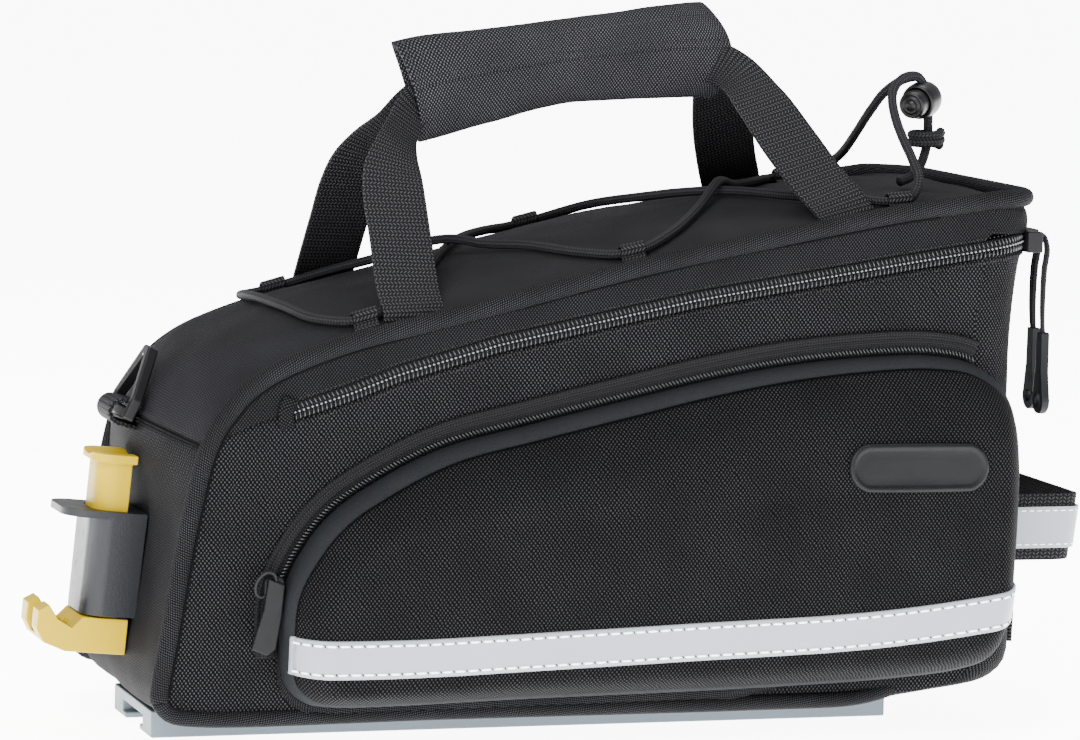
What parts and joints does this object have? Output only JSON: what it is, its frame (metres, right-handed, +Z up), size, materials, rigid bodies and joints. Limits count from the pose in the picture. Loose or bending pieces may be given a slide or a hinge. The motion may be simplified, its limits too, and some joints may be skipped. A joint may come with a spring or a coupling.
{
  "type": "bicycle trunk bag",
  "caption": "Black cloth bicycle trunk bag with a sloping lid, side pockets, webbing handle, elastic lacing and a track with a yellow release latch.",
  "frame": {"origin": "on the surface that the bag stands on, under the middle of its overall length and width", "axes": "+Z up, +X from the latch end towards the tail light loop, Y across the bag"},
  "size_m": [0.4258, 0.2012, 0.2884],
  "materials": {
    "bag_fabric": "matte woven",
    "webbing": "matte ribbed",
    "zipper": "matte tape with shiny coil",
    "zipper_metal": "semi gloss",
    "rubber": "satin",
    "reflective": "silver reflective",
    "elastic": "matte braided",
    "black_plastic": "satin",
    "grey_plastic": "satin",
    "yellow_plastic": "satin gloss"
  },
  "bodies": {
    "bag": {"body_tub": "bag_fabric", "lid": "bag_fabric", "main_zipper": "zipper", "edge_piping": "bag_fabric", "bottom_piping_near": "bag_fabric", "bottom_piping_far": "bag_fabric", "side_pocket_near": "bag_fabric", "side_pocket_far": "bag_fabric", "pocket_zipper_near": "zipper", "pocket_zipper_far": "zipper", "pocket_slider_near": "zipper_metal", "pocket_slider_far": "zipper_metal", "pocket_pull_near": "rubber", "pocket_pull_far": "rubber", "reflective_band_near": "reflective", "reflective_band_far": "reflective", "badge_near": "rubber", "badge_far": "rubber", "handle_strap_near": "webbing", "handle_strap_far": "webbing", "handle_grip": "bag_fabric", "cord_loop_front_near": "webbing", "cord_loop_middle_near": "webbing", "cord_loop_rear_near": "webbing", "cord_loop_front_far": "webbing", "cord_loop_middle_far": "webbing", "cord_loop_rear_far": "webbing", "elastic_cord": "elastic", "cord_tails": "elastic", "cord_lock_body": "black_plastic", "track_rail": "grey_plastic", "latch_housing": "black_plastic", "front_ring": "black_plastic", "front_ring_webbing": "webbing", "light_loop": "webbing", "light_loop_reflector": "reflective", "rear_patch": "webbing", "main_slider_1": "zipper_metal", "main_slider_2": "zipper_metal", "pull_cord_1": "elastic", "pull_cord_2": "elastic", "puller_1": "black_plastic", "puller_2": "black_plastic"},
    "latch_button": {"release_latch": "yellow_plastic"},
    "lock_button": {"cord_lock_button": "black_plastic"}
  },
  "joints": [
    {"name": "latch_press", "type": "slide", "parent": "bag", "child": "latch_button", "axis": [0.0872, 0, 0.9962], "range_m": [-0.008, 0], "stiffness_N_per_m": 300, "springref_m": 0.006},
    {"name": "cord_lock_press", "type": "slide", "parent": "bag", "child": "lock_button", "axis": [-0.7005, -0.6905, -0.1801], "range_m": [-0.0035, 0], "stiffness_N_per_m": 500, "springref_m": 0.002}
  ]
}
